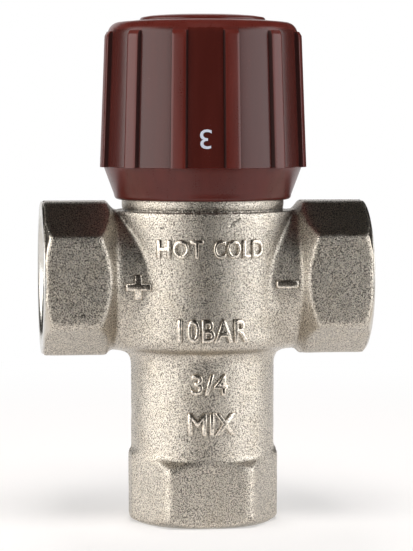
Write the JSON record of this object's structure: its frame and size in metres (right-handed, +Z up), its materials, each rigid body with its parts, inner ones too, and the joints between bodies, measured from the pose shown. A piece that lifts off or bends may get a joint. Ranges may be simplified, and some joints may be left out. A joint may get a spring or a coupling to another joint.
{
  "type": "thermostatic mixing valve",
  "caption": "Tee-shaped thermostatic mixing valve: female threaded hexagonal ports left, right and below, nickel-plated body, and a ribbed bordeaux handwheel on top.",
  "frame": {"origin": "centre of the mixed-water outlet's end face, the lowest face of the valve", "axes": "+Z up along the spindle and outlet axis, towards the handwheel; +X towards the cold inlet; front towards -Y"},
  "size_m": [0.07, 0.0452, 0.1095],
  "materials": {
    "nickel_forging": "nickel plate over a shot-blasted brass forging",
    "bordeaux_plastic": "moulded, glossy, dark bordeaux",
    "cap_plastic": "moulded, glossy, dark bordeaux",
    "brass_parts": "turned bare brass",
    "spring_steel": "stainless steel, bright",
    "seal_rubber": "moulded EPDM",
    "white_washer": "sintered low-friction plastic",
    "shuttle_plastic": "glass-filled moulding"
  },
  "bodies": {
    "body": {"valve_body": "nickel_forging", "bonnet": "brass_parts", "bonnet_seal": "seal_rubber", "spindle_washer": "white_washer", "shuttle_seal": "seal_rubber", "spring_retainer": "brass_parts", "return_spring": "spring_steel"},
    "handwheel": {"handwheel": "bordeaux_plastic", "cover_cap": "cap_plastic", "handwheel_screw": "spring_steel", "handwheel_washer": "spring_steel", "adjusting_spindle": "brass_parts", "spindle_seal_lower": "seal_rubber", "spindle_seal_upper": "seal_rubber", "spindle_clip": "spring_steel"},
    "carrier": {"carrier_nut": "brass_parts", "carrier_snap_ring": "spring_steel", "overtravel_spring": "spring_steel"},
    "thrust_cup": {"thrust_cup": "brass_parts", "element_pin": "spring_steel"},
    "shuttle": {"shuttle": "shuttle_plastic", "wax_element": "brass_parts", "element_clip": "spring_steel"}
  },
  "joints": [
    {"name": "handwheel_turn", "type": "hinge", "parent": "body", "child": "handwheel", "pos_m": [0, 0, 0.0875], "axis": [0, 0, 1], "range_deg": [-174, 96]},
    {"name": "carrier_lift", "type": "slide", "parent": "body", "child": "carrier", "axis": [0, 0, 1], "range_m": [-0.00098, 0.00055]},
    {"name": "overtravel", "type": "slide", "parent": "carrier", "child": "thrust_cup", "axis": [0, 0, 1], "range_m": [0, 0.0015], "stiffness_N_per_m": 1500, "springref_m": -0.002, "deforming": ["overtravel_spring"]},
    {"name": "shuttle_stroke", "type": "slide", "parent": "carrier", "child": "shuttle", "axis": [0, 0, 1], "range_m": [-0.0006, 0.0006], "stiffness_N_per_m": 1500, "deforming": ["return_spring"]}
  ],
  "couplings": [
    {"joint": "carrier_lift", "follows": "handwheel_turn", "m_per_rad": 0.00031831}
  ]
}
